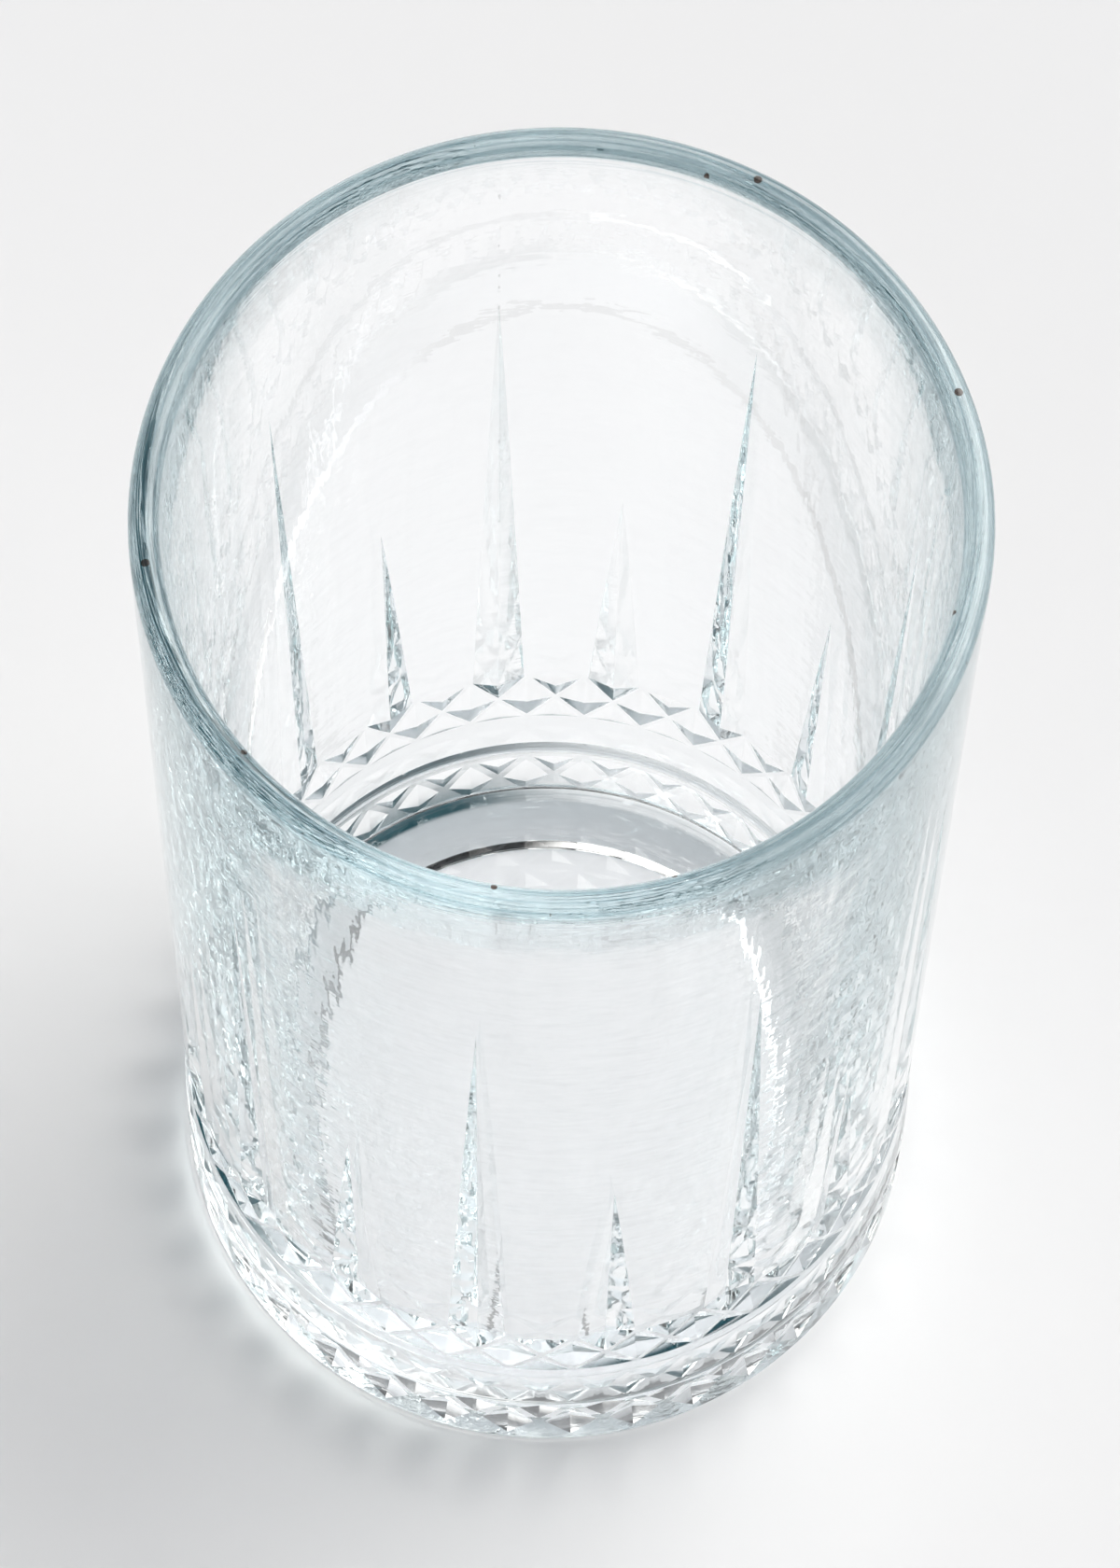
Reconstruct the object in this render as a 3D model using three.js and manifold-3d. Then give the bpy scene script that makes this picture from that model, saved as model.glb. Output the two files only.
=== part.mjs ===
// A tall pressed-glass highball tumbler: one piece of clear glass with pointed mitre cuts round its wall,
// a row of sunk diamonds under them and a second row round its foot.
// Millimetres, +Z up. The origin is the centre of the circle that the glass stands on.
import * as THREE from "three";
import { ConvexGeometry } from "three/addons/geometries/ConvexGeometry.js";
import { mergeVertices } from "three/addons/utils/BufferGeometryUtils.js";
import Module from "manifold-3d";

const wasm = await Module();
wasm.setup();

// The body
const HEIGHT = 145;
const RIM_DIAMETER = 74; // outside, at the lip
const WALL_TAPER = 1; // radius lost from the lip down to the waist above the foot
const FOOT_STEP = 0.3; // how far the foot stands out from the waist
const LIP_WALL = 2.7; // thickness of the rounded lip
const WAIST_WALL = 4.7; // thickness of the wall at the waist, where the inside meets the floor
const FLOOR_HEIGHT = 5.2; // inside floor above the table
const FLOOR_CORNER = 2.4; // rounding between the inside wall and the floor
const BEARING_WIDTH = 8.9; // flat ring that the glass stands on
const PUSH_UP = 1.3; // height of the hollow under the base
const PUSH_UP_SLOPE = 1.2; // run of the hollow's sloping side
const FOOT_EDGE = 0.6; // rounding of the foot's outer edge

// The rows of cuts, stacked from the table upwards
const RING_MARGIN = 1; // plain glass under the foot's row of diamonds
const RING_LOWER = 4.9; // lower half of that row
const RING_UPPER = 5.1; // upper half of that row
const RING_TO_STEP = 0.8; // plain glass between that row and the step
const STEP_HEIGHT = 2.8; // sloping step from the foot to the waist
const PLAIN_BAND = 6.8; // smooth band above the step
const BAND_LOWER = 4.5; // lower half of the band of diamonds
const BAND_UPPER = 5.1; // upper half of the band of diamonds
const SHORT_CUT = 42; // length of a short mitre cut above the band
const PLAIN_LIP = 30; // plain wall between the tall cuts' points and the lip

// The cuts
const MITRE_CUTS = 18; // tall and short by turns
const BAND_LAND = 0.6; // width of the lines of wall left between the band's cuts
const RING_LAND = 1; // width of the lines left between the foot's cuts
const MITRE_DEPTH = 0.8;
const MITRE_DROP = 1; // a mitre cut's deepest point below the band's upper edge
const TRIANGLE_DEPTH = 0.8; // sunk triangles between the mitre cuts, hanging from the same edge
const TRIANGLE_DROP = 1.8; // a hanging triangle's deepest point below its row's upper edge
const TRIANGLE_MARGIN = 0.4; // plain glass between a hanging triangle and that edge
const DIAMOND_DEPTH = 1.1;
const DIAMOND_DROP = 0.2; // deepest point below the middle of its row
const HEM_DEPTH = 0.7; // sunk triangles along the band's lower edge
const HEM_RISE = 0.6; // their deepest point above that edge
const RING_DEPTH = 0.9;
const RING_DROP = 0.9;
const RING_TRIANGLE_DEPTH = 0.55;

const ARC_DIVISIONS = 4;
const MERGE_DISTANCE = 1e-4; // vertices nearer than this are one vertex
const CUTTER_REACH = 1.6; // how far a cutter carries on past the surface, as a multiple of the cut's depth

// Sizes that follow from those
const rimRadius = RIM_DIAMETER / 2;
const waistRadius = rimRadius - WALL_TAPER;
const footRadius = waistRadius + FOOT_STEP;
const floorRadius = waistRadius - WAIST_WALL;
const bearingRadius = footRadius - BEARING_WIDTH;
const lipRadius = LIP_WALL / 2;
const ringFoot = RING_MARGIN;
const ringMiddle = ringFoot + RING_LOWER;
const ringTop = ringMiddle + RING_UPPER;
const stepFoot = ringTop + RING_TO_STEP;
const stepTop = stepFoot + STEP_HEIGHT;
const bandFoot = stepTop + PLAIN_BAND;
const bandMiddle = bandFoot + BAND_LOWER;
const bandTop = bandMiddle + BAND_UPPER;
const diamonds = 2 * MITRE_CUTS;
const diamondAngle = (2 * Math.PI) / diamonds;
const wallSegments = 2 * diamonds;

// Radius of the smooth outside at a height.
function outsideRadius(z) {
  if (z <= stepFoot) return footRadius;
  if (z <= stepTop) return footRadius - (FOOT_STEP * (z - stepFoot)) / STEP_HEIGHT;
  return waistRadius + (WALL_TAPER * (z - stepTop)) / (HEIGHT - lipRadius - stepTop);
}

// Half of the section through the axis: under the base, up the outside, over the lip and down the inside.
function glassOutline() {
  const outline = new THREE.Path();
  outline.moveTo(0, PUSH_UP);
  outline.lineTo(bearingRadius - PUSH_UP_SLOPE, PUSH_UP);
  outline.lineTo(bearingRadius, 0);
  outline.lineTo(footRadius - FOOT_EDGE, 0);
  outline.absarc(footRadius - FOOT_EDGE, FOOT_EDGE, FOOT_EDGE, -Math.PI / 2, 0, false);
  outline.lineTo(footRadius, stepFoot);
  outline.lineTo(waistRadius, stepTop);
  outline.lineTo(rimRadius, HEIGHT - lipRadius);
  outline.absarc(rimRadius - lipRadius, HEIGHT - lipRadius, lipRadius, 0, Math.PI, false);
  outline.lineTo(floorRadius, FLOOR_HEIGHT + FLOOR_CORNER);
  const corner = floorRadius - FLOOR_CORNER;
  outline.absarc(corner, FLOOR_HEIGHT + FLOOR_CORNER, FLOOR_CORNER, 0, -Math.PI / 2, true);
  outline.lineTo(0, FLOOR_HEIGHT);
  return outline.getPoints(ARC_DIVISIONS);
}

// A closed geometry as a solid for cutting: shared vertices merged, triangles without area left out.
function solidFrom(geometry) {
  const bare = new THREE.BufferGeometry();
  bare.setAttribute("position", geometry.getAttribute("position"));
  bare.setIndex(geometry.getIndex());
  const merged = mergeVertices(bare, MERGE_DISTANCE);
  const corners = merged.getIndex().array;
  const kept = [];
  for (let i = 0; i < corners.length; i += 3) {
    const [a, b, c] = corners.slice(i, i + 3);
    if (a !== b && b !== c && c !== a) kept.push(a, b, c);
  }
  return new wasm.Manifold(
    new wasm.Mesh({
      numProp: 3,
      vertProperties: new Float32Array(merged.getAttribute("position").array),
      triVerts: new Uint32Array(kept),
    }),
  );
}

function geometryFrom(solid) {
  const mesh = solid.getMesh();
  const geometry = new THREE.BufferGeometry();
  geometry.setAttribute("position", new THREE.BufferAttribute(mesh.vertProperties, 3));
  geometry.setIndex(new THREE.BufferAttribute(mesh.triVerts, 1));
  geometry.computeVertexNormals();
  return geometry;
}

// A point on the outside, or sunk below it. The turn is counted from the front, -Y, towards +X.
function wallPoint(turn, z, depth = 0) {
  const radius = outsideRadius(z) - depth;
  return new THREE.Vector3(radius * Math.sin(turn), -radius * Math.cos(turn), z);
}

// A sunk pyramid: its outline's corners lie on the wall, and its flat sides meet in one deepest point.
function sunkPyramid(corners, deepest) {
  const outer = corners.map((corner) => deepest.clone().lerp(corner, CUTTER_REACH));
  return solidFrom(new ConvexGeometry([deepest, ...outer]));
}

// How far a row's corners draw back to leave its land along the slanting lines of a half row this high.
function drawBack(row, halfHeight) {
  const radius = outsideRadius(row.middle);
  const halfWidth = radius * (diamondAngle / 2);
  const slant = Math.hypot(halfWidth, halfHeight);
  return {
    turn: ((row.land / 2) * (slant / halfHeight)) / radius,
    rise: (row.land / 2) * (slant / halfWidth),
  };
}

// One diamond of a row, centred at a turn, with its deepest point below its middle.
function sunkDiamond(turn, row) {
  const upper = drawBack(row, row.top - row.middle);
  const lower = drawBack(row, row.middle - row.foot);
  const half = diamondAngle / 2 - Math.max(upper.turn, lower.turn);
  const corners = [
    wallPoint(turn, row.top - upper.rise),
    wallPoint(turn + half, row.middle),
    wallPoint(turn, row.foot + lower.rise),
    wallPoint(turn - half, row.middle),
  ];
  return sunkPyramid(corners, wallPoint(turn, row.middle - row.drop, row.depth));
}

// The triangle that hangs between two diamonds under the row's upper edge.
function hangingTriangle(turn, row, depth) {
  const halfHeight = row.top - row.middle;
  const back = drawBack(row, halfHeight);
  const half = (diamondAngle / 2) * (1 - TRIANGLE_MARGIN / halfHeight) - back.turn;
  const edge = row.top - TRIANGLE_MARGIN;
  const corners = [
    wallPoint(turn + half, edge),
    wallPoint(turn - half, edge),
    wallPoint(turn, row.middle + back.rise),
  ];
  return sunkPyramid(corners, wallPoint(turn, row.top - TRIANGLE_DROP, depth));
}

// A mitre cut: a triangle between two diamonds whose point is drawn up the wall.
function mitreCut(turn, row, tip) {
  const back = drawBack(row, row.top - row.middle);
  const half = diamondAngle / 2 - back.turn;
  const corners = [
    wallPoint(turn + half, row.top),
    wallPoint(turn - half, row.top),
    wallPoint(turn, row.middle + back.rise),
    wallPoint(turn, tip),
  ];
  return sunkPyramid(corners, wallPoint(turn, row.top - MITRE_DROP, MITRE_DEPTH));
}

// The triangle that stands between two diamonds on the band's lower edge.
function hemTriangle(turn, row) {
  const back = drawBack(row, row.middle - row.foot);
  const half = diamondAngle / 2 - back.turn;
  const corners = [
    wallPoint(turn + half, row.foot),
    wallPoint(turn - half, row.foot),
    wallPoint(turn, row.middle - back.rise),
  ];
  return sunkPyramid(corners, wallPoint(turn, row.foot + HEM_RISE, HEM_DEPTH));
}

const band = {
  foot: bandFoot,
  middle: bandMiddle,
  top: bandTop,
  land: BAND_LAND,
  depth: DIAMOND_DEPTH,
  drop: DIAMOND_DROP,
};

const ring = {
  foot: ringFoot,
  middle: ringMiddle,
  top: ringTop,
  land: RING_LAND,
  depth: RING_DEPTH,
  drop: RING_DROP,
};

function glassTumbler() {
  const turned = new THREE.LatheGeometry(glassOutline(), wallSegments);
  turned.rotateX(Math.PI / 2);
  let glass = solidFrom(turned);
  const tallTip = HEIGHT - PLAIN_LIP;
  const shortTip = bandTop + SHORT_CUT;
  const tips = [undefined, shortTip, undefined, tallTip]; // round the wall, with plain triangles between
  for (let i = 0; i < diamonds; i += 1) {
    const turn = i * diamondAngle;
    const between = turn + diamondAngle / 2;
    const tip = tips[i % tips.length];
    const upper = tip === undefined ? hangingTriangle(turn, band, TRIANGLE_DEPTH) : mitreCut(turn, band, tip);
    glass = glass
      .subtract(upper)
      .subtract(sunkDiamond(between, band))
      .subtract(hemTriangle(turn, band))
      .subtract(hangingTriangle(turn, ring, RING_TRIANGLE_DEPTH))
      .subtract(sunkDiamond(between, ring));
  }
  return geometryFrom(glass);
}

const clearGlass = new THREE.MeshStandardMaterial({
  color: 0xe6f0f1,
  roughness: 0.04,
  metalness: 0,
  transparent: true,
  opacity: 0.35,
});

const tumbler = new THREE.Mesh(glassTumbler(), clearGlass);
tumbler.name = "glass_tumbler";

const highball = new THREE.Group();
highball.add(tumbler);

export default highball;
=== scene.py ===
import math

import bpy
from mathutils import Matrix, Vector


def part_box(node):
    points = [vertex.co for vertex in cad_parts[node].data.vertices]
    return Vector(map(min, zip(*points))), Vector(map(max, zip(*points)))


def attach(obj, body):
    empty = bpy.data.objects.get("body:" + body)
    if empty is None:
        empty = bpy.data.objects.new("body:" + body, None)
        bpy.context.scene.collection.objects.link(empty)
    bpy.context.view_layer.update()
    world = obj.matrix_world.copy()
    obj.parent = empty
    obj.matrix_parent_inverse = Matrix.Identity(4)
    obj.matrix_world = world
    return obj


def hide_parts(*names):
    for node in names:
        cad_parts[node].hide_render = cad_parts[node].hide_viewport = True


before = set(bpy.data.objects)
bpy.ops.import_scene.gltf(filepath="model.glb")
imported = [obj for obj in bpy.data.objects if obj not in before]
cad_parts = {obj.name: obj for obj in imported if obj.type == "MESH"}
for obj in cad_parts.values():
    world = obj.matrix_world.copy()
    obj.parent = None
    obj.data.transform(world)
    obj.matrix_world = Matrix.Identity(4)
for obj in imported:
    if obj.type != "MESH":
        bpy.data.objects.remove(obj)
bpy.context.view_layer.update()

# The glass is one piece, built again here in metres with smooth walls and the same cuts as its solid.
MM = 0.001
TURN = 2 * math.pi
glass_low, glass_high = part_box("glass_tumbler")

# The body
HEIGHT = glass_high.z
RIM_RADIUS = glass_high.x
WALL_TAPER = 1.0 * MM
FOOT_STEP = 0.3 * MM
LIP_WALL = 2.7 * MM
WAIST_WALL = 4.7 * MM
FLOOR_HEIGHT = 5.2 * MM
FLOOR_CORNER = 2.4 * MM
BEARING_WIDTH = 8.9 * MM
PUSH_UP = 1.3 * MM
PUSH_UP_SLOPE = 1.2 * MM
FOOT_EDGE = 0.6 * MM
LIP_ROUND = 0.49 * LIP_WALL  # just under half of the lip, so that its two arcs don't meet
PUSH_UP_ROUND = 0.8 * MM
BEARING_ROUND = 0.4 * MM
STEP_ROUND = 0.8 * MM
ARC_STEP = math.radians(6)  # largest turn between two points of an arc
LONGEST_RUN = 14 * MM  # largest distance between two points of a straight stretch
WAIST_RADIUS = RIM_RADIUS - WALL_TAPER
FOOT_RADIUS = WAIST_RADIUS + FOOT_STEP
FLOOR_RADIUS = WAIST_RADIUS - WAIST_WALL
BEARING_RADIUS = FOOT_RADIUS - BEARING_WIDTH
LIP_FOOT = HEIGHT - LIP_WALL / 2

# The rows of cuts, from the table upwards
RING_FOOT = 1.0 * MM
RING_MIDDLE = RING_FOOT + 4.9 * MM
RING_TOP = RING_MIDDLE + 5.1 * MM
STEP_FOOT = RING_TOP + 0.8 * MM
STEP_TOP = STEP_FOOT + 2.8 * MM
BAND_FOOT = STEP_TOP + 6.8 * MM
BAND_MIDDLE = BAND_FOOT + 4.5 * MM
BAND_TOP = BAND_MIDDLE + 5.1 * MM
SHORT_TIP = BAND_TOP + 42 * MM
TALL_TIP = HEIGHT - 30 * MM

# The cuts
MITRE_CUTS = 18
DIAMONDS = 2 * MITRE_CUTS
WALL_SEGMENTS = 16 * DIAMONDS
SHARP_SHARE = 0.25  # an edge with more than this share of facets beside it stays sharp
CUT_SIZES = {
    "Foot radius": FOOT_RADIUS,
    "Waist radius": WAIST_RADIUS,
    "Rim radius": RIM_RADIUS,
    "Step top": STEP_TOP,
    "Lip foot": LIP_FOOT,
    "Ring foot": RING_FOOT,
    "Ring middle": RING_MIDDLE,
    "Ring top": RING_TOP,
    "Ring land": 1.0 * MM,
    "Ring depth": 0.9 * MM,
    "Ring drop": 0.9 * MM,
    "Ring triangle depth": 0.55 * MM,
    "Band foot": BAND_FOOT,
    "Band middle": BAND_MIDDLE,
    "Band top": BAND_TOP,
    "Band land": 0.6 * MM,
    "Diamond depth": 1.1 * MM,
    "Diamond drop": 0.2 * MM,
    "Hem depth": 0.7 * MM,
    "Hem rise": 0.6 * MM,
    "Mitre depth": 0.8 * MM,
    "Mitre drop": 1.0 * MM,
    "Triangle depth": 0.8 * MM,
    "Triangle drop": 1.8 * MM,
    "Triangle margin": 0.4 * MM,
    "Short tip": SHORT_TIP,
    "Tall tip": TALL_TIP,
    "Cutter reach": 1.6,
    "Weld": 0.001 * MM,
}


class Wire:
    """One value in a node tree. Arithmetic on it adds Math nodes."""

    def __init__(self, bench, socket):
        self.bench = bench
        self.socket = socket

    def math(self, operation, *values):
        sockets = dict(enumerate(values))
        return self.bench.add("ShaderNodeMath", {"operation": operation}, sockets)

    def __add__(self, other):
        return self.math("ADD", self, other)

    def __radd__(self, other):
        return self.math("ADD", other, self)

    def __sub__(self, other):
        return self.math("SUBTRACT", self, other)

    def __rsub__(self, other):
        return self.math("SUBTRACT", other, self)

    def __mul__(self, other):
        return self.math("MULTIPLY", self, other)

    def __rmul__(self, other):
        return self.math("MULTIPLY", other, self)

    def __truediv__(self, other):
        return self.math("DIVIDE", self, other)

    def __rtruediv__(self, other):
        return self.math("DIVIDE", other, self)

    def __mod__(self, other):
        return self.math("FLOORED_MODULO", self, other)

    def __neg__(self):
        return self.math("MULTIPLY", self, -1.0)

    def above(self, other):
        return self.math("GREATER_THAN", self, other)

    def below(self, other):
        return self.math("LESS_THAN", self, other)

    def sine(self):
        return self.math("SINE", self)

    def cosine(self):
        return self.math("COSINE", self)

    def root(self):
        return self.math("SQRT", self)

    def floor(self):
        return self.math("FLOOR", self)

    def size(self):
        return self.math("ABSOLUTE", self)

    def larger(self, other):
        return self.math("MAXIMUM", self, other)

    def ramp(self, start, end):
        """0 at start and 1 at end, eased, and flat past both."""
        settings = {"interpolation_type": "SMOOTHSTEP"}
        sockets = {"Value": self, "From Min": start, "From Max": end}
        return self.bench.add("ShaderNodeMapRange", settings, sockets)


class Bench:
    """Adds nodes to one tree."""

    def __init__(self, tree):
        self.tree = tree

    def add(self, kind, settings=None, sockets=None, output=0):
        node = self.tree.nodes.new(kind)
        for name, value in (settings or {}).items():
            setattr(node, name, value)
        for name, value in (sockets or {}).items():
            for item in value if isinstance(value, list) else [value]:
                if isinstance(item, Wire):
                    self.tree.links.new(item.socket, node.inputs[name])
                else:
                    node.inputs[name].default_value = item
        return Wire(self, node.outputs[output]) if node.outputs else node

    def vector(self, x, y, z):
        return self.add("ShaderNodeCombineXYZ", None, {"X": x, "Y": y, "Z": z})

    def blend(self, share, first, second):
        """From the first colour to the second."""
        return self.add("ShaderNodeMix", {"data_type": "RGBA"}, {0: share, 6: first, 7: second}, 2)

    def noise(self, place, count, detail):
        sockets = {"Vector": place, "Scale": count, "Detail": detail}
        return self.add("ShaderNodeTexNoise", None, sockets)

    def parts(self, vector):
        return [self.add("ShaderNodeSeparateXYZ", None, {"Vector": vector}, axis) for axis in range(3)]


def rounded_corner(before, corner, after, radius):
    """Points of the arc that rounds one corner of the section."""
    back = (before - corner).normalized()
    ahead = (after - corner).normalized()
    half = back.angle(ahead) / 2
    reach = radius / math.tan(half)
    centre = corner + (back + ahead).normalized() * (radius / math.sin(half))
    first = corner + back * reach - centre
    last = corner + ahead * reach - centre
    swing = first.angle_signed(last)
    steps = math.ceil(abs(swing) / ARC_STEP)
    return [centre + Matrix.Rotation(-swing * i / steps, 2) @ first for i in range(steps + 1)]


def glass_section():
    """Half of the section through the axis: under the base, up the outside, over the lip and down inside."""
    corners = [
        (0, PUSH_UP, 0),
        (BEARING_RADIUS - PUSH_UP_SLOPE, PUSH_UP, PUSH_UP_ROUND),
        (BEARING_RADIUS, 0, BEARING_ROUND),
        (FOOT_RADIUS, 0, FOOT_EDGE),
        (FOOT_RADIUS, STEP_FOOT, STEP_ROUND),
        (WAIST_RADIUS, STEP_TOP, STEP_ROUND),
        (RIM_RADIUS, HEIGHT, LIP_ROUND),
        (RIM_RADIUS - LIP_WALL, HEIGHT, LIP_ROUND),
        (FLOOR_RADIUS, FLOOR_HEIGHT, FLOOR_CORNER),
        (0, FLOOR_HEIGHT, 0),
    ]
    places = [Vector(corner[:2]) for corner in corners]
    rounded = [places[0]]
    for i in range(1, len(corners) - 1):
        rounded += rounded_corner(places[i - 1], places[i], places[i + 1], corners[i][2])
    rounded.append(places[-1])
    points = [rounded[0]]
    for start, end in zip(rounded, rounded[1:]):
        steps = math.ceil((end - start).length / LONGEST_RUN)
        points += [start.lerp(end, (i + 1) / steps) for i in range(steps)]
    return points


class CutGlassTree:
    """The Geometry Nodes that turn the section into a glass and cut its rows of facets."""

    def __init__(self, name, section_rows, material):
        self.tree = bpy.data.node_groups.new(name, "GeometryNodeTree")
        self.bench = Bench(self.tree)
        self.rows = section_rows
        interface = self.tree.interface
        interface.new_socket("Section", in_out="INPUT", socket_type="NodeSocketGeometry")
        interface.new_socket("Glass", in_out="OUTPUT", socket_type="NodeSocketGeometry")
        self.inputs = {}
        for size in CUT_SIZES:
            self.inputs[size] = interface.new_socket(size, in_out="INPUT", socket_type="NodeSocketFloat")
        source = self.tree.nodes.new("NodeGroupInput")
        self.section = Wire(self.bench, source.outputs["Section"])
        self.sizes = {size: Wire(self.bench, source.outputs[size]) for size in CUT_SIZES}
        glass = self.cut(self.turned(), self.cutters())
        glass = self.bench.add("GeometryNodeRealizeInstances", None, {"Geometry": glass})
        glass = self.bench.add("GeometryNodeSetMaterial", None, {"Geometry": glass, "Material": material})
        self.bench.add("NodeGroupOutput", None, {"Glass": glass})

    def turned(self):
        """The section turned round the axis as a closed mesh."""
        bench = self.bench
        grid = {"Vertices X": WALL_SEGMENTS + 1, "Vertices Y": self.rows}
        sheet = bench.add("GeometryNodeMeshGrid", None, grid)
        index = bench.add("GeometryNodeInputIndex")
        column = (index / self.rows + 0.5 / self.rows).floor()
        row = index - column * self.rows
        place = bench.add("GeometryNodeInputPosition")
        sample = {"Geometry": self.section, "Value": place, "Index": row}
        point = bench.add("GeometryNodeSampleIndex", {"data_type": "FLOAT_VECTOR"}, sample)
        radius, _, height = bench.parts(point)
        turn = (column % WALL_SEGMENTS) * (TURN / WALL_SEGMENTS)
        position = bench.vector(radius * turn.sine(), -radius * turn.cosine(), height)
        shell = bench.add("GeometryNodeSetPosition", None, {"Geometry": sheet, "Position": position})
        weld = {"Geometry": shell, "Distance": self.sizes["Weld"]}
        return bench.add("GeometryNodeMergeByDistance", None, weld)

    def wall_point(self, turn, height, depth, on_foot):
        """A point on the outside, or sunk below it, with its turn counted from the front."""
        size = self.sizes
        if on_foot:
            radius = size["Foot radius"] - depth
        else:
            share = (height - size["Step top"]) / (size["Lip foot"] - size["Step top"])
            radius = size["Waist radius"] + (size["Rim radius"] - size["Waist radius"]) * share - depth
        if turn is None:
            return (0.0, -radius, height)
        return (radius * turn.sine(), -radius * turn.cosine(), height)

    def sunk_pyramid(self, corners, deepest):
        """A cutter whose flat sides meet in one deepest point and pass through the corners on the wall."""
        bench = self.bench
        reach = self.sizes["Cutter reach"]
        outer = [tuple(d + (c - d) * reach for c, d in zip(corner, deepest)) for corner in corners]
        places = [bench.vector(*point) for point in [deepest, *outer]]
        points = [bench.add("GeometryNodePoints", None, {"Count": 1, "Position": p}) for p in places]
        cloud = bench.add("GeometryNodeJoinGeometry", None, {"Geometry": points})
        return bench.add("GeometryNodeConvexHull", None, {"Geometry": cloud})

    def draw_back(self, row, half_height):
        """How far a row's corners draw back, as a turn and a rise, to leave its lines of plain wall."""
        radius = self.sizes["Foot radius"] if row == "Ring" else self.sizes["Waist radius"]
        half_land = self.sizes[row + " land"] / 2
        half_width = radius * (TURN / DIAMONDS / 2)
        slant = (half_width * half_width + half_height * half_height).root()
        return half_land * slant / half_height / radius, half_land * slant / half_width

    def sunk_diamond(self, row, depth, drop):
        size = self.sizes
        on_foot = row == "Ring"
        top, middle, foot = (size[f"{row} {edge}"] for edge in ("top", "middle", "foot"))
        upper_turn, upper_rise = self.draw_back(row, top - middle)
        lower_turn, lower_rise = self.draw_back(row, middle - foot)
        half = TURN / DIAMONDS / 2 - upper_turn.larger(lower_turn)
        corners = [
            self.wall_point(None, top - upper_rise, 0.0, on_foot),
            self.wall_point(half, middle, 0.0, on_foot),
            self.wall_point(None, foot + lower_rise, 0.0, on_foot),
            self.wall_point(-half, middle, 0.0, on_foot),
        ]
        deepest = self.wall_point(None, middle - size[drop], size[depth], on_foot)
        return self.sunk_pyramid(corners, deepest)

    def hanging_triangle(self, row, depth):
        """The triangle between two diamonds, hanging under the row's upper edge."""
        size = self.sizes
        on_foot = row == "Ring"
        top, middle = size[row + " top"], size[row + " middle"]
        back_turn, back_rise = self.draw_back(row, top - middle)
        share = 1 - size["Triangle margin"] / (top - middle)
        half = share * (TURN / DIAMONDS / 2) - back_turn
        edge = top - size["Triangle margin"]
        corners = [
            self.wall_point(half, edge, 0.0, on_foot),
            self.wall_point(-half, edge, 0.0, on_foot),
            self.wall_point(None, middle + back_rise, 0.0, on_foot),
        ]
        deepest = self.wall_point(None, top - size["Triangle drop"], size[depth], on_foot)
        return self.sunk_pyramid(corners, deepest)

    def mitre_cut(self, tip):
        """A triangle between two diamonds of the band whose point is drawn up the wall."""
        size = self.sizes
        top, middle = size["Band top"], size["Band middle"]
        back_turn, back_rise = self.draw_back("Band", top - middle)
        half = TURN / DIAMONDS / 2 - back_turn
        corners = [
            self.wall_point(half, top, 0.0, False),
            self.wall_point(-half, top, 0.0, False),
            self.wall_point(None, middle + back_rise, 0.0, False),
            self.wall_point(None, size[tip], 0.0, False),
        ]
        deepest = self.wall_point(None, top - size["Mitre drop"], size["Mitre depth"], False)
        return self.sunk_pyramid(corners, deepest)

    def hem_triangle(self):
        """The triangle that stands between two diamonds on the band's lower edge."""
        size = self.sizes
        foot, middle = size["Band foot"], size["Band middle"]
        back_turn, back_rise = self.draw_back("Band", middle - foot)
        half = TURN / DIAMONDS / 2 - back_turn
        corners = [
            self.wall_point(half, foot, 0.0, False),
            self.wall_point(-half, foot, 0.0, False),
            self.wall_point(None, middle - back_rise, 0.0, False),
        ]
        deepest = self.wall_point(None, foot + size["Hem rise"], size["Hem depth"], False)
        return self.sunk_pyramid(corners, deepest)

    def round_the_axis(self, cutter, count, first):
        """Copies of a cutter round the glass, the first one at a turn given in diamonds."""
        bench = self.bench
        points = bench.add("GeometryNodePoints", None, {"Count": count})
        index = bench.add("GeometryNodeInputIndex")
        turn = index * (TURN / count) + first * TURN / DIAMONDS
        rotation = bench.vector(0.0, 0.0, turn)
        sockets = {"Points": points, "Instance": cutter, "Rotation": rotation}
        return bench.add("GeometryNodeInstanceOnPoints", None, sockets)

    def cutters(self):
        mitres = MITRE_CUTS // 2
        return [
            self.round_the_axis(self.hanging_triangle("Band", "Triangle depth"), MITRE_CUTS, 0),
            self.round_the_axis(self.mitre_cut("Short tip"), mitres, 1),
            self.round_the_axis(self.mitre_cut("Tall tip"), mitres, 3),
            self.round_the_axis(self.sunk_diamond("Band", "Diamond depth", "Diamond drop"), DIAMONDS, 0.5),
            self.round_the_axis(self.hem_triangle(), DIAMONDS, 0),
            self.round_the_axis(self.hanging_triangle("Ring", "Ring triangle depth"), DIAMONDS, 0),
            self.round_the_axis(self.sunk_diamond("Ring", "Ring depth", "Ring drop"), DIAMONDS, 0.5),
        ]

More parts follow.
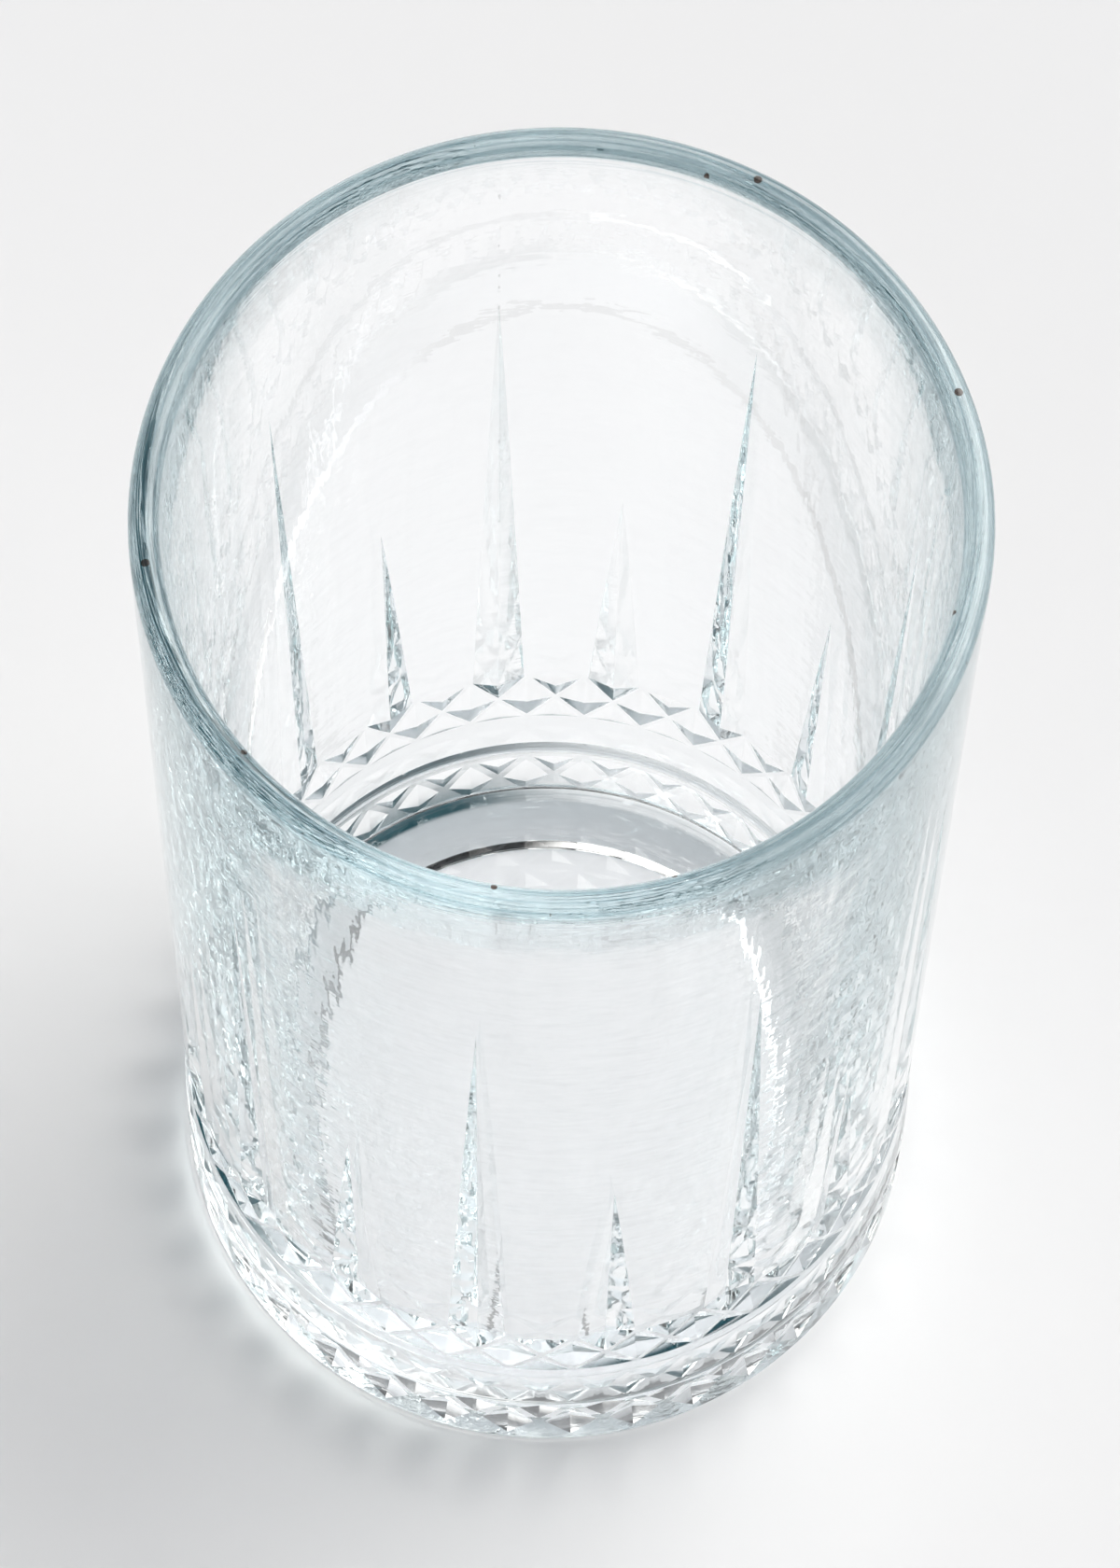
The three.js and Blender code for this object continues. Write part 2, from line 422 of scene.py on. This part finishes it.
    def cut(self, body, cutters):
        """Takes the cutters from the body. Every face is smooth, and the facets keep sharp edges."""
        bench = self.bench
        mark = {"data_type": "FLOAT", "domain": "FACE"}
        marked = []
        for cutter in cutters:
            sockets = {"Geometry": cutter, "Name": "facet", "Value": 1.0}
            marked.append(bench.add("GeometryNodeStoreNamedAttribute", mark, sockets))
        boolean = {"operation": "DIFFERENCE", "solver": "MANIFOLD"}
        glass = bench.add("GeometryNodeMeshBoolean", boolean, {"Mesh 1": body, "Mesh 2": marked})
        weld = {"Geometry": glass, "Distance": self.sizes["Weld"]}
        glass = bench.add("GeometryNodeMergeByDistance", None, weld)
        facet = bench.add("GeometryNodeInputNamedAttribute", {"data_type": "FLOAT"}, {"Name": "facet"})
        smooth = {"Geometry": glass, "Shade Smooth": True}
        glass = bench.add("GeometryNodeSetShadeSmooth", {"domain": "FACE"}, smooth)
        sharp = {"Geometry": glass, "Selection": facet.above(SHARP_SHARE), "Shade Smooth": False}
        return bench.add("GeometryNodeSetShadeSmooth", {"domain": "EDGE"}, sharp)


def line_mesh(name, points):
    """The section as a chain of vertices in the plane through the axis."""
    mesh = bpy.data.meshes.new(name)
    edges = [(i, i + 1) for i in range(len(points) - 1)]
    mesh.from_pydata([(radius, 0.0, height) for radius, height in points], edges, [])
    return mesh


def glass_tumbler(material):
    section = glass_section()
    shaped = bpy.data.objects.new("cut_glass", line_mesh("cut_glass", section))
    bpy.context.scene.collection.objects.link(shaped)
    recipe = CutGlassTree("cut_glass", len(section), material)
    modifier = shaped.modifiers.new("cut_glass", "NODES")
    modifier.node_group = recipe.tree
    for size, socket in recipe.inputs.items():
        modifier[socket.identifier] = CUT_SIZES[size]
    graph = bpy.context.evaluated_depsgraph_get()
    mesh = bpy.data.meshes.new_from_object(shaped.evaluated_get(graph), depsgraph=graph)
    shaped.modifiers.remove(modifier)
    mesh.materials.clear()
    mesh.materials.append(material)
    mesh.polygons.foreach_set("material_index", [0] * len(mesh.polygons))
    shaped.data = mesh
    return shaped


# The glass, the waves that pressing leaves in its wall, the marks of use and of the mould, and lines of
# painted shade round the lip
REFRACTIVE_INDEX = 1.52
GLASS_TINT = (0.62, 0.87, 0.9, 1.0)
TINT_DENSITY = 4.0
CLEAR = (1.0, 1.0, 1.0, 1.0)
MID_WALL_RADIUS = RIM_RADIUS - 1.6 * MM  # between the inside and the outside of the upper wall
STREAK_COUNT = 9.0
STREAK_STRETCH = 6.0  # long streaks down the wall
RIPPLE_COUNT = 230.0
RIPPLE_STRETCH = 2.0  # short ripples across it
RIPPLE_SHARE = 0.25
LIP_STREAK_COUNT = 3.0
LIP_STREAK_WIDTH = 0.7 * MM  # raised streaks that run round the lip
LIP_STREAK_SHARE = 0.5
LIP_STREAK_EDGES = (HEIGHT - 2.0 * LIP_WALL, HEIGHT - 0.5 * LIP_WALL)
LIP_LINE_COUNT = 1.4
LIP_LINE_WIDTH = 0.3 * MM  # fine lines of painted shade, a dark teal tint, that run round the lip
LIP_LINE_EDGES = (0.46, 0.6)  # noise levels where a line fades in
LIP_LINE_HEIGHTS = (HEIGHT - 1.2 * LIP_WALL, HEIGHT - 0.6 * LIP_WALL)
LIP_LINE_SHARE = 0.55
LIP_SHADE_LINE_COLOUR = (0.02, 0.2, 0.26, 1.0)
WAVE_HEIGHT = 0.03 * MM
FOOT_WAVE_SHARE = 0.25  # the foot's facets are flatter than the wall
SPECK_SPACING = 4.5 * MM
SPECK_SIZE = 0.09  # largest radius of a speck, as a share of the spacing
SPECK_SHARE = 0.4  # share of places without a speck
SPECK_FOOT = HEIGHT - 0.3 * LIP_WALL
SPECK_COLOUR = (0.03, 0.012, 0.008, 1.0)
SEAM_TURN = math.radians(-170)
SEAM_WIDTH = 0.2 * MM
SEAM_FOOT = 68 * MM
SEAM_HEIGHT = 0.08
SEAM_DOT_COUNT = 900.0
SEAM_DOT_EDGES = (0.6, 0.7)
SEAM_DOT_SHARE = 0.5
SMEAR_COUNT = 60.0
SMEAR_EDGES = (0.45, 0.75)
SMEAR_ROUGHNESS = 0.004  # at its most


def clear_glass():
    """Clear soda-lime glass, faintly blue-green along its length, with the marks of pressing and of use, and
    lines of painted shade round the lip.
    """
    material = bpy.data.materials.new("clear_pressed_glass")
    material.use_nodes = True
    material.node_tree.nodes.clear()
    bench = Bench(material.node_tree)
    place = bench.add("ShaderNodeTexCoord", None, None, "Object")
    x, y, z = bench.parts(place)
    turn = x.math("ARCTAN2", x, -y)
    radius = (x * x + y * y).root()

    along = bench.vector(turn.sine(), turn.cosine(), z * STREAK_STRETCH)
    streaks = bench.noise(along, STREAK_COUNT, 3.0)
    wide = bench.vector(x, y, z * RIPPLE_STRETCH)
    ripples = bench.noise(wide, RIPPLE_COUNT, 2.0)
    round_lip = bench.vector(turn * LIP_STREAK_COUNT, radius / LIP_STREAK_WIDTH, z / LIP_STREAK_WIDTH)
    lip_streaks = bench.noise(round_lip, 1.0, 2.0) * z.ramp(*LIP_STREAK_EDGES)
    outside = radius.above(MID_WALL_RADIUS)
    off_seam = (turn - SEAM_TURN).size() * RIM_RADIUS
    seam = (1 - off_seam.ramp(0.0, SEAM_WIDTH)) * z.above(SEAM_FOOT) * outside
    wall_share = FOOT_WAVE_SHARE + (1 - FOOT_WAVE_SHARE) * z.ramp(STEP_TOP, BAND_TOP)
    height = wall_share * (streaks + RIPPLE_SHARE * ripples)
    height = height + LIP_STREAK_SHARE * lip_streaks + SEAM_HEIGHT * seam
    waves = bench.add("ShaderNodeBump", None, {"Strength": 1.0, "Distance": WAVE_HEIGHT, "Height": height})

    lip_place = bench.vector(turn * (RIM_RADIUS / SPECK_SPACING), radius / SPECK_SPACING, 0.0)
    cells = {"voronoi_dimensions": "2D"}
    cell_sockets = {"Vector": lip_place, "Scale": 1.0}
    reach = bench.add("ShaderNodeTexVoronoi", cells, cell_sockets, "Distance")
    cell_colour = bench.add("ShaderNodeTexVoronoi", cells, cell_sockets, "Color")
    chance, share, _ = bench.parts(cell_colour)
    specks = reach.below(SPECK_SIZE * share) * chance.above(SPECK_SHARE) * z.above(SPECK_FOOT)
    dots = bench.noise(place, SEAM_DOT_COUNT, 2.0).ramp(*SEAM_DOT_EDGES)
    marks = specks.larger(SEAM_DOT_SHARE * seam * dots)

    # Lines of painted shade round the lip, a dark teal tint on the clear glass
    across, back = turn.sine() * LIP_LINE_COUNT, turn.cosine() * LIP_LINE_COUNT
    course = bench.vector(across, back, radius / LIP_LINE_WIDTH)
    line_sockets = {"Vector": course, "W": z / LIP_LINE_WIDTH, "Scale": 1.0, "Detail": 3.0}
    lip_shade_lines = bench.add("ShaderNodeTexNoise", {"noise_dimensions": "4D"}, line_sockets)
    lip_shade_lines = lip_shade_lines.ramp(*LIP_LINE_EDGES) * z.ramp(*LIP_LINE_HEIGHTS)
    base = bench.blend(LIP_LINE_SHARE * lip_shade_lines, CLEAR, LIP_SHADE_LINE_COLOUR)
    base = bench.blend(marks, base, SPECK_COLOUR)

    smears = bench.noise(place, SMEAR_COUNT, 4.0).ramp(*SMEAR_EDGES)
    glass = {
        "Base Color": base,
        "Roughness": SMEAR_ROUGHNESS * smears,
        "IOR": REFRACTIVE_INDEX,
        "Transmission Weight": 1.0,
        "Normal": waves,
    }
    surface = bench.add("ShaderNodeBsdfPrincipled", None, glass)
    tint = {"Color": GLASS_TINT, "Density": TINT_DENSITY}
    volume = bench.add("ShaderNodeVolumeAbsorption", None, tint)
    bench.add("ShaderNodeOutputMaterial", None, {"Surface": surface, "Volume": volume})
    return material


# The camera, which looks down into the glass
VIEW_RISE = math.radians(67.977)
VIEW_TURN = math.radians(-0.215)
VIEW_ROLL = math.radians(1.515)
VIEW_DISTANCE = 762.5 * MM
AIM_RIGHT = 0.5 * MM
AIM_UP = 4.3 * MM
LENS = 187.6
SENSOR = 36.0


def camera():
    data = bpy.data.cameras.new("camera")
    data.sensor_fit = "VERTICAL"
    data.sensor_width = SENSOR
    data.sensor_height = SENSOR
    data.lens = LENS
    data.clip_start = 0.01
    data.clip_end = 50.0
    middle = Vector((0, 0, HEIGHT / 2))
    away = Vector((0, -math.cos(VIEW_RISE), math.sin(VIEW_RISE)))
    right = Vector((1, 0, 0))
    up = away.cross(right)
    place = away * VIEW_DISTANCE
    forward = (right * AIM_RIGHT + up * AIM_UP - place).normalized()
    right = forward.cross(up).normalized()
    up = right.cross(forward)
    rolled_right = right * math.cos(VIEW_ROLL) + up * math.sin(VIEW_ROLL)
    rolled_up = up * math.cos(VIEW_ROLL) - right * math.sin(VIEW_ROLL)
    stand = Matrix((rolled_right, rolled_up, -forward)).transposed().to_4x4()
    stand.translation = place
    made = bpy.data.objects.new("camera", data)
    bpy.context.scene.collection.objects.link(made)
    made.matrix_world = Matrix.Translation(middle) @ Matrix.Rotation(VIEW_TURN, 4, "Z") @ stand
    bpy.context.scene.camera = made


# The floor, and the painted shade and painted light that the glass shows of it under its hollow, bearing
# ring and wall
FLOOR_SIDE = 6.0
FLOOR_GAP = 0.05 * MM
FLOOR_COLOUR = (0.888, 0.888, 0.888, 1.0)
GLASS_SHADE = 0.4  # share of the painted colour below the glass that is lit, and not glowing as painted light
OPEN_COLOUR = (0.97, 0.97, 0.975, 1.0)
OPEN_REACH = 4.0 * MM  # how far past the foot the painted shade and light fade into the open floor
# Painted light on the floor under the hollow
HOLLOW_PAINTED_LIGHT = (0.9, 0.91, 0.925, 1.0)
HOLLOW_EDGE = 1.5 * MM
# Painted contact shade under the bearing ring at the back, painted light at the front
UNDER_FLOOR_PAINTED_SHADE = (0.58, 0.61, 0.635, 1.0)
UNDER_FLOOR_PAINTED_LIGHT = (0.95, 0.96, 0.99, 1.0)
# Painted contact shade under the wall, and painted pools of light round it
UNDER_WALL_PAINTED_SHADE = (0.02, 0.08, 0.1, 1.0)
UNDER_WALL_PAINTED_LIGHT = (0.98, 0.98, 0.99, 1.0)
UNDER_WALL_LIGHT_POOLS = 2  # painted pools of light round the ring under the wall
UNDER_WALL_TURN = math.radians(-25)
UNDER_WALL_EDGES = (0.0, 1.0)
NEAR_SIDE_TURN = math.radians(95)  # a third painted pool of light, towards the lamps
NEAR_SIDE_EDGES = (0.5, 1.0)
NEAR_SIDE_SHARE = 0.7
INSIDE_EDGES = (FLOOR_RADIUS + 1.3 * MM, FLOOR_RADIUS + 2.5 * MM)
FRONT_EDGES = (0.3, 0.95)
FRONT_REACH = 1.8 * MM  # how much further the painted colour under the glass's floor reaches at the front
# Streaks in the painted light under the wall
RING_STREAK_COUNT = 2.0
RING_STREAK_WIDTH = 0.6 * MM
RING_STREAK_SHARE = 1.2
MOTTLE_COUNT = 180.0
MOTTLE_SHARE = 0.3

# The room and its lamps: levels, directions from the glass, and the cosines where a lamp fades in
ROOM_COLOUR = (0.965, 0.985, 1.04, 1.0)
KEY_COLOUR = (1.015, 1.0, 0.97, 1.0)
DARK_LEVEL = 0.02
SIDE_LEVEL = 1.3
SIDE_TURN = math.radians(100)
SIDE_RISE = math.radians(15)
SIDE_EDGES = (0.6, 0.98)
CEILING_LEVEL = 0.75
CEILING_EDGES = (0.75, 0.95)
BACK_LEVEL = 2.2
BACK_TURN = math.radians(159)
BACK_RISE = math.radians(30)
BACK_EDGES = (math.cos(math.radians(24)), math.cos(math.radians(12)))
KEY_LEVEL = 4.1
KEY_TURN = math.radians(125)
KEY_RISE = math.radians(42)
KEY_EDGES = (math.cos(math.radians(33)), math.cos(math.radians(11)))


def pale_floor_with_painted_light():
    """A pale floor. Through the glass, its colour is painted shade and painted light at the foot, and partly
    glows.
    """
    material = bpy.data.materials.new("pale_floor_with_painted_light")
    material.use_nodes = True
    material.node_tree.nodes.clear()
    bench = Bench(material.node_tree)
    through_glass = bench.add("ShaderNodeLightPath", None, None, "Is Transmission Ray")
    plain = bench.add("ShaderNodeBsdfDiffuse", None, {"Color": FLOOR_COLOUR})
    place = bench.add("ShaderNodeTexCoord", None, None, "Object")
    x, y, _ = bench.parts(place)
    radius = (x * x + y * y).root()
    turn = x.math("ARCTAN2", x, -y)
    # Painted shade under the wall, lit by painted pools of light round the ring and towards the lamps
    light_pools = (UNDER_WALL_LIGHT_POOLS * (turn - UNDER_WALL_TURN)).cosine().ramp(*UNDER_WALL_EDGES)
    lamp_side_pool = NEAR_SIDE_SHARE * (turn - NEAR_SIDE_TURN).cosine().ramp(*NEAR_SIDE_EDGES)
    ring_place = bench.vector(turn * RING_STREAK_COUNT, radius / RING_STREAK_WIDTH, 0.0)
    streaks = bench.noise(ring_place, 1.0, 2.0) - 0.5
    painted_light_share = light_pools.larger(lamp_side_pool) * (1 + RING_STREAK_SHARE * streaks)
    under_wall_painted = bench.blend(painted_light_share, UNDER_WALL_PAINTED_SHADE, UNDER_WALL_PAINTED_LIGHT)
    out_of_hollow = radius.ramp(BEARING_RADIUS - HOLLOW_EDGE, BEARING_RADIUS)
    front = turn.cosine().ramp(*FRONT_EDGES)
    past_inside = (radius - FRONT_REACH * front).ramp(*INSIDE_EDGES)
    past_foot = radius.ramp(FOOT_RADIUS, FOOT_RADIUS + OPEN_REACH)
    # Painted light under the hollow, mottled at random with the painted shade of the bearing ring
    shade_mottle = bench.noise(place, MOTTLE_COUNT, 3.0)
    hollow_painted = bench.blend(MOTTLE_SHARE * shade_mottle, HOLLOW_PAINTED_LIGHT, UNDER_FLOOR_PAINTED_SHADE)
    # Painted shade at the back of the bearing ring, painted light at the front
    under_floor_painted = bench.blend(front, UNDER_FLOOR_PAINTED_SHADE, UNDER_FLOOR_PAINTED_LIGHT)
    painted_floor_colour = bench.blend(out_of_hollow, hollow_painted, under_floor_painted)
    painted_floor_colour = bench.blend(past_inside, painted_floor_colour, under_wall_painted)
    painted_floor_colour = bench.blend(past_foot, painted_floor_colour, OPEN_COLOUR)
    # Through the glass these painted colours partly glow, as painted light
    painted_glow = bench.add("ShaderNodeEmission", None, {"Color": painted_floor_colour})
    shaded = bench.add("ShaderNodeBsdfDiffuse", None, {"Color": painted_floor_colour})
    below_glass = bench.add("ShaderNodeMixShader", None, {0: GLASS_SHADE, 1: painted_glow, 2: shaded})
    surface = bench.add("ShaderNodeMixShader", None, {0: through_glass, 1: plain, 2: below_glass})
    bench.add("ShaderNodeOutputMaterial", None, {"Surface": surface})
    mesh = bpy.data.meshes.new("floor")
    half = FLOOR_SIDE / 2
    corners = [(-half, -half), (half, -half), (half, half), (-half, half)]
    mesh.from_pydata([(x, y, -FLOOR_GAP) for x, y in corners], [], [(0, 1, 2, 3)])
    mesh.materials.append(material)
    floor = bpy.data.objects.new("floor", mesh)
    bpy.context.scene.collection.objects.link(floor)


def towards(turn, rise):
    """A direction from the glass. Its turn is counted from the front towards +X."""
    level = math.cos(rise)
    return (math.sin(turn) * level, -math.cos(turn) * level, math.sin(rise))


def studio_air():
    """The room round the table: soft lights behind, to the right and above, and a dark side opposite."""
    world = bpy.data.worlds.new("studio")
    bpy.context.scene.world = world
    world.use_nodes = True
    world.node_tree.nodes.clear()
    bench = Bench(world.node_tree)
    direction = bench.add("ShaderNodeTexCoord", None, None, "Generated")

    def lamp(turn, rise, edges):
        """How much of a round soft lamp in this direction is seen."""
        sockets = {0: direction, 1: towards(turn, rise)}
        return bench.add("ShaderNodeVectorMath", {"operation": "DOT_PRODUCT"}, sockets, "Value").ramp(*edges)

    _, _, height = bench.parts(direction)
    ceiling = height.ramp(*CEILING_EDGES)
    side = lamp(SIDE_TURN, SIDE_RISE, SIDE_EDGES)
    dim = DARK_LEVEL + SIDE_LEVEL * side + CEILING_LEVEL * ceiling
    room = bench.add("ShaderNodeBackground", None, {"Color": ROOM_COLOUR, "Strength": dim})
    key_light = KEY_LEVEL * lamp(KEY_TURN, KEY_RISE, KEY_EDGES)
    back_light = BACK_LEVEL * lamp(BACK_TURN, BACK_RISE, BACK_EDGES)
    lamps = key_light + back_light
    key = bench.add("ShaderNodeBackground", None, {"Color": KEY_COLOUR, "Strength": lamps})
    lit = bench.add("ShaderNodeAddShader", None, {0: room, 1: key})
    seen = bench.add("ShaderNodeLightPath", None, None, "Is Camera Ray")
    pale = bench.add("ShaderNodeBackground", None, {"Color": FLOOR_COLOUR})
    light = bench.add("ShaderNodeMixShader", None, {0: seen, 1: lit, 2: pale})
    bench.add("ShaderNodeOutputWorld", None, {"Surface": light})


glass = glass_tumbler(clear_glass())
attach(glass, "root")
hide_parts("glass_tumbler")

camera()
pale_floor_with_painted_light()
studio_air()

LIGHT_BOUNCES = 48
scene = bpy.context.scene
scene.view_settings.view_transform = "Standard"
scene.cycles.blur_glossy = 0.0
scene.cycles.max_bounces = LIGHT_BOUNCES
scene.cycles.transmission_bounces = LIGHT_BOUNCES
scene.cycles.glossy_bounces = LIGHT_BOUNCES
